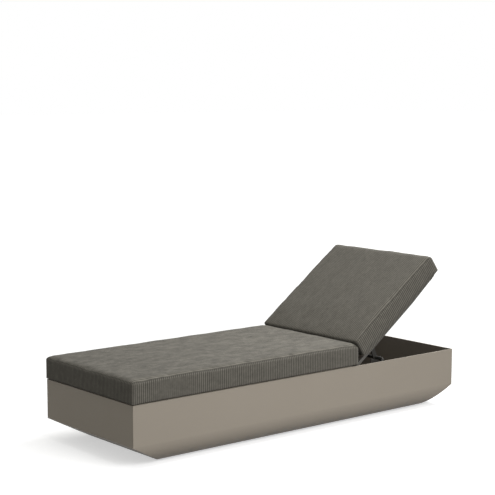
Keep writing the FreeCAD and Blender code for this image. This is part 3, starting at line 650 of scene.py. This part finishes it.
@dataclass
class Cushion:
    """A box cushion of foam in a ribbed cover, built level and then swung into place."""

    CLOTH_PLACE = "cloth_place"
    # Depth of the rib hollows, which the cover darkens as painted shade.
    GROOVE_SHADE = "groove"
    SEAM = "seam"
    BRUSHED = "brushed"

    name: str
    nodes: tuple[str, ...]
    body: str
    box: tuple[Vector, Vector]
    swing: Matrix = field(default_factory=lambda: Matrix.Identity(4))
    band: Optional[Band] = None
    seam_tone: float = 0.5
    brushed: float = 1.0
    meeting_end: int = 1
    rib_pitch: float = 0.0108
    rib_depth: float = 0.0016
    top_rib_depth: float = 0.0007
    # Painted shade: share of the hollows' darkening on the top and underside, which sets how dark the top
    # looks.
    top_groove_shade: float = 0.9
    foot_round: float = 0.011
    head_round: float = 0.011
    side_round: float = 0.009
    top_round: float = 0.007
    under_round: float = 0.002
    under_share: float = 0.3
    head_roll: float = 0.012
    roll_along: float = 0.08
    roll_reach: float = 1.6
    roll_corner: float = 0.040
    waist: float = 0.0012
    seam_depth: float = 0.0012
    seam_under: float = 0.3
    inset: float = 0.0005
    foot_proud: float = 0.0
    head_proud: float = 0.0
    side_proud: float = 0.003
    welt: float = 0.0062
    welt_along: float = 0.4
    welt_corner: float = 0.050
    welt_wide: float = 0.006
    welt_high: float = 0.004
    solid_crown: float = 0.008
    crown: float = 0.0110
    crown_reach: float = 0.030
    side_swell: float = 0.0030
    hand_power: int = 8
    drawn_in: float = 0.15
    ripple: float = 0.0014
    ripple_scale: float = 9.0
    rows: int = 12
    brushed_sides: float = 0.3
    pressure: float = 4.0
    stiffness: float = 25.0
    bending: float = 0.6
    quality: int = 5
    frames: int = 20

    def __post_init__(self) -> None:
        """Works out the lattice from the solid's box and the rib pitch."""
        low, high = self.box
        self.low = low + Vector((self.inset - self.foot_proud, -self.side_proud, self.inset))
        self.high = high - Vector((self.inset - self.head_proud, -self.side_proud, self.solid_crown))
        self.middle, self.half = (self.low + self.high) / 2, (self.high - self.low) / 2
        self.cells = (
            round((self.high.x - self.low.x) / self.rib_pitch),
            round((self.high.y - self.low.y) / self.rib_pitch),
            self.rows,
        )

    def make(self) -> bpy.types.Object:
        """Builds the cushion and hands it to the frame.

        Returns:
            The finished object.
        """
        piece = self.cage()
        self.inflate(piece)
        self.settle(piece)
        if self.band:
            self.wrap_frame(piece, self.band)
        self.refine(piece)
        self.sew(piece)
        piece.data.transform(self.swing)
        piece.data.materials.append(Palette.COVER.value.material())
        for polygon in piece.data.polygons:
            polygon.use_smooth = True
        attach(piece, self.body)
        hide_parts(*self.nodes)
        log.info("made %s with %d points", self.name, len(piece.data.vertices))
        return piece

    def rounded(self, place: Vector) -> Vector:
        """Pushes a point of the plain box onto the cushion's form.

        Args:
            place: A point on the surface of the plain box.

        Returns:
            The point on the form.
        """
        radii = (
            self.foot_round if place.x < self.middle.x else self.head_round,
            self.side_round,
            self.top_round if place.z > self.middle.z else self.under_round,
        )
        if place.z < self.low.z + ON_FACE:
            radii = (radii[0] * self.under_share, radii[1] * self.under_share, radii[2])
        inner = Vector(
            min(max(value, low + radius), high - radius)
            for value, low, high, radius in zip(place, self.low, self.high, radii)
        )
        away = Vector(value / radius for value, radius in zip(place - inner, radii))
        if away.length > 0:
            place = inner + Vector(value * radius for value, radius in zip(away.normalized(), radii))
        reach = self.roll_reach * self.head_roll
        share = min(max((place.x - self.high.x + reach) / reach, 0.0), 1.0)
        lift = (place.z - self.low.z) / (self.high.z - self.low.z)
        corner = min(max(1.0 - (self.half.y - abs(place.y)) / self.roll_corner, 0.0), 1.0)
        roll = self.head_roll * (self.roll_along + (1.0 - self.roll_along) * corner * corner)
        place.z -= roll * (1.0 - math.sqrt(1.0 - share * share)) * lift
        along = (place.x - self.middle.x) / self.half.x
        place.y *= 1.0 - self.waist * (1.0 - along * along) / self.half.y
        return place

    def cage(self) -> bpy.types.Object:
        """Builds the closed lattice box, one cell to a rib.

        Returns:
            The object with its lattice numbers stored on the points.
        """
        points: dict[tuple[int, int, int], int] = {}
        places: list[Vector] = []
        quads: list[tuple[int, ...]] = []

        def point(*cell: int) -> int:
            """Makes a lattice point when it is first asked for.

            Args:
                cell: Lattice numbers of the point.

            Returns:
                The point's number in the mesh.
            """
            if cell not in points:
                points[cell] = len(places)
                share = [number / count for number, count in zip(cell, self.cells)]
                places.append(Vector(
                    low + (high - low) * part for low, high, part in zip(self.low, self.high, share)
                ))
            return points[cell]

        for axis in range(3):
            across, up = (axis + 1) % 3, (axis + 2) % 3
            for layer in (0, self.cells[axis]):
                for i in range(self.cells[across]):
                    for j in range(self.cells[up]):
                        corners = []
                        for di, dj in ((0, 0), (1, 0), (1, 1), (0, 1)):
                            cell = [0, 0, 0]
                            cell[axis], cell[across], cell[up] = layer, i + di, j + dj
                            corners.append(point(*cell))
                        quads.append(tuple(corners if layer else reversed(corners)))
        mesh = bpy.data.meshes.new(self.name)
        mesh.from_pydata([self.rounded(place) for place in places], [], quads)
        lattice = mesh.attributes.new("lattice", "FLOAT_VECTOR", "POINT")
        lattice.data.foreach_set("vector", [float(number) for cell in points for number in cell])
        piece = bpy.data.objects.new(self.name, mesh)
        bpy.context.scene.collection.objects.link(piece)
        return piece

    def inflate(self, piece: bpy.types.Object) -> None:
        """Blows the cover up as cloth over its filling and keeps a capped share of the movement.

        Args:
            piece: The cushion, still a lattice.
        """
        cloth = piece.modifiers.new("cloth", "CLOTH")
        cloth.settings.use_pressure = True
        cloth.settings.uniform_pressure_force = self.pressure
        cloth.settings.effector_weights.gravity = 0.0
        cloth.settings.quality = self.quality
        cloth.settings.tension_stiffness = self.stiffness
        cloth.settings.compression_stiffness = self.stiffness
        cloth.settings.bending_stiffness = self.bending
        cloth.point_cache.frame_start = 1
        cloth.point_cache.frame_end = self.frames
        scene = bpy.context.scene
        for frame in range(1, self.frames + 1):
            scene.frame_set(frame)
        settled = piece.evaluated_get(bpy.context.evaluated_depsgraph_get()).to_mesh()
        moved = [vertex.co.copy() for vertex in settled.vertices]
        piece.modifiers.remove(cloth)
        scene.frame_set(1)
        caps = (self.side_swell, self.side_swell, self.crown)
        for vertex, place in zip(piece.data.vertices, moved):
            shift = place - vertex.co
            for axis in range(3):
                outward = shift[axis] * (vertex.co[axis] - self.middle[axis]) > 0.0
                meeting = axis == 0 and (vertex.co.x - self.middle.x) * self.meeting_end > 0.0
                kept = caps[axis] * math.tanh(shift[axis] / caps[axis])
                if axis == 2 and outward:
                    kept *= self.eased(vertex.co)
                vertex.co[axis] += kept * (self.drawn_in if meeting or not outward else 1.0)

    def eased(self, place: Vector) -> float:
        """Share of the crown at a point: none at the end where the cushions meet, all of it further in.

        Args:
            place: A point on the cushion.

        Returns:
            The share, from 0 to 1.
        """
        inside = self.half.x - (place.x - self.middle.x) * self.meeting_end
        share = min(max(inside / self.crown_reach, 0.0), 1.0)
        return share * (2.0 - share)

    def settle(self, piece: bpy.types.Object) -> None:
        """Lays the underside flat, hangs the welt and adds the soft unevenness of the top.

        Args:
            piece: The cushion, still a lattice.
        """
        for vertex in piece.data.vertices:
            place = vertex.co
            place.z = max(place.z, self.low.z)
            if place.z > self.middle.z:
                place.z += self.ripple * noise.noise(Vector((place.x, place.y, 0.0)) * self.ripple_scale)
            if not self.band and place.z < self.low.z + self.welt_high:
                place.z -= self.welt_drop(place)

    def welt_drop(self, place: Vector) -> float:
        """How far the welt hangs below the underside at a point: most of all at the corners of the foot end.

        Args:
            place: A point on the underside.

        Returns:
            The drop in metres, which is 0 away from the borders.
        """
        beside = self.high.y - abs(place.y)
        behind = place.x - self.low.x
        if min(beside, behind) > self.welt_wide:
            return 0.0
        corner = max(0.0, 1.0 - max(beside, behind) / self.welt_corner)
        return self.welt * (self.welt_along + (1.0 - self.welt_along) * corner)

    def wrap_frame(self, piece: bpy.types.Object, band: Band) -> None:
        """Draws the borders down over the frame and turns a hem up behind them.

        Args:
            piece: The cushion, still a lattice.
            band: The band to make.
        """
        columns, across, _ = self.cells
        head = band.head_rows()
        for vertex, entry in zip(piece.data.vertices, piece.data.attributes["lattice"].data):
            i, j, k = (round(number) for number in entry.vector)
            place, ring, column = vertex.co, min(j, across - j), columns - i
            side = math.copysign(1.0, place.y)
            if k == 0 and column in head and 0 < i:
                place.x = head[column][0]
            drop = band.drop(place.x)
            if ring == 0:
                length = self.high.z - self.low.z
                place.z = self.high.z - (self.high.z - place.z) * (length + drop) / length
                share = min(max((self.low.z + band.fold - place.z) / band.fold, 0.0), 1.0) if drop else 0.0
                place.y += (side * band.outside - place.y) * share
            elif k == 0 and ring == 1 and drop:
                place.y, place.z = side * (band.inside + band.hem), self.low.z - drop
            elif k == 0 and ring == 2:
                place.y = side * (band.inside + band.hem_edge)
            if k == 0 and ring > 1 and column in head:
                place.z = self.low.z - head[column][1]

    def refine(self, piece: bpy.types.Object) -> None:
        """Adds one subdivision, which gives each rib a crest and a groove.

        Args:
            piece: The cushion, which gets the finer mesh.
        """
        finer = piece.modifiers.new("finer", "SUBSURF")
        finer.levels = 1
        finer.boundary_smooth = "ALL"
        mesh = bpy.data.meshes.new_from_object(piece.evaluated_get(bpy.context.evaluated_depsgraph_get()))
        piece.modifiers.clear()
        plain = piece.data
        piece.data = mesh
        bpy.data.meshes.remove(plain)
        mesh.name = self.name

    def face_of(self, cell: Vector) -> tuple[Face, float]:
        """The panel that a point is on and its rib number.

        Args:
            cell: Lattice numbers of the point.

        Returns:
            The panel, and the number of ribs up to the point.
        """
        u, v, w = self.cells
        if cell.y < ON_BORDER or cell.y > v - ON_BORDER:
            return Face.LONG_SIDE, cell.x
        if cell.x < ON_BORDER or cell.x > u - ON_BORDER:
            return Face.END, cell.y
        return (Face.TOP if cell.z > w / 2 else Face.UNDER), cell.y

    def sew(self, piece: bpy.types.Object) -> None:
        """Presses the ribs and the seams into the cover and stores them for the material, which darkens the
        rib hollows as painted shade.

        Args:
            piece: The cushion with its finer mesh.
        """
        mesh = piece.data
        cells = [Vector(entry.vector) for entry in mesh.attributes["lattice"].data]
        normals = [entry.vector.copy() for entry in mesh.vertex_normals]
        places = [number for vertex in mesh.vertices for number in vertex.co]
        depths = {Face.TOP: self.top_rib_depth, Face.UNDER: 0.0}
        groove_shades, seams, brushed = [], [], []
        for vertex, cell, normal in zip(mesh.vertices, cells, normals):
            borders = [min(cell[axis], self.cells[axis] - cell[axis]) < ON_BORDER for axis in range(3)]
            face, rib = self.face_of(cell)
            sewn = borders[2] and (borders[0] or borders[1])
            hollow = math.sin(math.pi * rib) ** 2
            pressed = self.seam_depth * (1.0 if cell.z > ON_BORDER else self.seam_under)
            vertex.co -= normal * (pressed if sewn else depths.get(face, self.rib_depth) * hollow)
            # The hollows' depth is stored as painted shade for the cover.
            groove_shades.append(hollow if face in (Face.LONG_SIDE, Face.END) else hollow * self.top_groove_shade)
            seams.append(self.seam_tone if sewn else 0.0)
            brushed.append(self.brushed if face is Face.TOP else self.brushed_sides)
        mesh.attributes.new(self.CLOTH_PLACE, "FLOAT_VECTOR", "POINT").data.foreach_set("vector", places)
        mesh.attributes.new(self.GROOVE_SHADE, "FLOAT", "POINT").data.foreach_set("value", groove_shades)
        mesh.attributes.new(self.SEAM, "FLOAT", "POINT").data.foreach_set("value", seams)
        mesh.attributes.new(self.BRUSHED, "FLOAT", "POINT").data.foreach_set("value", brushed)


@dataclass(frozen=True)
class Lamp:
    """A square soft lamp. Sizes are in metres, the power in watts and the spread in degrees."""

    name: str
    place: Place
    aim: Place
    size: float
    power: float
    spread: float = 180.0

    def hang(self) -> None:
        """Hangs the lamp and turns it to what it lights."""
        data = bpy.data.lights.new(self.name, "AREA")
        data.shape = "SQUARE"
        data.size = self.size
        data.energy = self.power
        data.spread = math.radians(self.spread)
        hung = bpy.data.objects.new(self.name, data)
        hung.location = self.place
        hung.rotation_euler = (Vector(self.aim) - Vector(self.place)).to_track_quat("-Z", "Y").to_euler()
        bpy.context.scene.collection.objects.link(hung)


@dataclass
class Studio:
    """Floor, light and camera."""

    camera_place: Place = (-4.2013, -5.0136, 1.6370)
    camera_turn: Place = (83.19, 0.0, -39.40)
    lens: float = 98.64
    sensor: float = 36.0
    clip_end: float = 300.0
    floor_half: float = 60.0
    floor_colour: Colour = (0.15, 0.15, 0.155)
    floor_shown: Colour = (0.72, 0.72, 0.735)
    floor_glow: tuple[float, float] = (0.52, 0.83)
    glow_reach: float = 4.0
    glow_start: float = 0.4
    world_light: float = 0.57
    world_colour: Colour = (1.0, 0.998, 0.945)
    white: Colour = (1.0, 1.0, 1.0)
    shown_rays: tuple[str, ...] = ("Is Camera Ray", "Is Glossy Ray", "Is Transmission Ray")
    key: Lamp = Lamp("key", (3.2, -0.35, 3.5), aim=(0.45, -0.1, 0.4), size=1.4, power=19.5, spread=52.0)
    fill: Lamp = Lamp("fill", (-0.4, -4.6, 2.8), aim=(0.0, 0.0, 0.3), size=2.4, power=172.0)

    def make(self) -> None:
        """Builds the studio."""
        self.camera()
        self.floor()
        self.world()
        self.key.hang()
        self.fill.hang()
        bpy.context.scene.view_settings.view_transform = "Standard"

    def camera(self) -> None:
        """Places the camera at the photograph's view."""
        data = bpy.data.cameras.new("camera")
        data.lens = self.lens
        data.sensor_width = self.sensor
        data.clip_end = self.clip_end
        seen = bpy.data.objects.new("camera", data)
        seen.location = self.camera_place
        seen.rotation_euler = tuple(math.radians(angle) for angle in self.camera_turn)
        bpy.context.scene.collection.objects.link(seen)
        bpy.context.scene.camera = seen

    def shown(self, recipe: Recipe) -> Signal:
        """1 for a ray that shows what it meets, also in a reflection, and 0 for one that only lights.

        Args:
            recipe: The tree being built.

        Returns:
            The share of what is shown.
        """
        rays = recipe.node("ShaderNodeLightPath")
        return sum(Signal(recipe, rays.outputs[kind]) for kind in self.shown_rays).clamped()

    def floor(self) -> None:
        """Lays a pale floor that looks white where no shadow falls."""
        half = self.floor_half
        corners = [(-half, -half, 0.0), (half, -half, 0.0), (half, half, 0.0), (-half, half, 0.0)]
        mesh = bpy.data.meshes.new("floor")
        mesh.from_pydata(corners, [], [(0, 1, 2, 3)])
        ground = bpy.data.objects.new("floor", mesh)
        bpy.context.scene.collection.objects.link(ground)
        recipe = Recipe("pale_floor")
        apart = recipe.vector("LENGTH", {0: recipe.place()}, "Value")
        near, far = ((strength,) * 3 for strength in self.floor_glow)
        glow = recipe.blend((apart / self.glow_reach - self.glow_start).clamped(), near, far)
        lit = recipe.signal("ShaderNodeBsdfDiffuse", inputs={"Color": (*self.floor_shown, 1.0)})
        glowing = recipe.signal("ShaderNodeEmission", inputs={"Color": glow})
        bright = recipe.signal("ShaderNodeAddShader", inputs={0: lit, 1: glowing})
        dim = recipe.signal("ShaderNodeBsdfDiffuse", inputs={"Color": (*self.floor_colour, 1.0)})
        recipe.surface(recipe.mix(self.shown(recipe), dim, bright))
        mesh.materials.append(recipe.owner)

    def world(self) -> None:
        """Fills the room with even light and shows white behind the lounger."""
        recipe = Recipe("studio", world=True)
        bpy.context.scene.world = recipe.owner
        even, behind = (
            recipe.signal("ShaderNodeBackground", inputs={"Color": (*colour, 1.0), "Strength": strength})
            for colour, strength in ((self.world_colour, self.world_light), (self.white, 1.0))
        )
        recipe.surface(recipe.mix(self.shown(recipe), even, behind))


def level_swing(joint: dict) -> Matrix:
    """The turn that carries the level backrest to its rest angle.

    Args:
        joint: The backrest's joint in the record.

    Returns:
        The matrix about the hinge.
    """
    hinge = Matrix.Translation(Vector(joint["pos_m"]))
    angle = math.radians(-joint["range_deg"][0])
    return hinge @ Matrix.Rotation(angle, 4, Vector(joint["axis"])) @ hinge.inverted()


def level_box(node: bpy.types.Object, swing: Matrix) -> tuple[Vector, Vector]:
    """Lowest and highest corners of a node as it is with the backrest level.

    Args:
        node: A node of the frame.
        swing: The turn that took it to its rest place.

    Returns:
        The two corners.
    """
    back = swing.inverted()
    places = [back @ vertex.co for vertex in node.data.vertices]
    return tuple(Vector(pick(place[axis] for place in places) for axis in range(3)) for pick in (min, max))


def main() -> None:
    """Loads the frame, dresses it and builds the cushions and the studio."""
    logging.basicConfig(level=logging.INFO, format="%(message)s")
    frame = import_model()
    Studio().make()
    nodes = frame["nodes"]
    Tub(nodes).make()
    Deck(nodes).make()
    Mechanism(nodes).make()
    hinge = next(joint for joint in frame["joints"] if joint["name"] == "backrest_hinge")
    level = level_swing(hinge)
    Cushion(
        "seat_cushion_cover", ("seat_cushion",), "base", level_box(nodes["seat_cushion"], Matrix.Identity(4)),
        head_round=0.014, head_roll=0.022, foot_proud=0.007, side_proud=0.005,
    ).make()
    band_low, band_high = level_box(nodes["back_cover_band"], level)
    bar_low, bar_high = level_box(nodes["back_side_bar_right"], level)
    Cushion(
        "back_cushion_cover", ("back_cushion", "back_cover_band"), "backrest",
        level_box(nodes["back_cushion"], level), swing=level,
        band=Band(outside=band_high.y, inside=bar_high.y, head=band_high.x, start=band_low.x),
        foot_round=0.004, foot_proud=0.002, head_proud=0.005, head_roll=0.014, roll_along=0.2,
        crown_reach=0.20, brushed=0.3, meeting_end=-1,
    ).make()


if __name__ == "__main__":
    main()
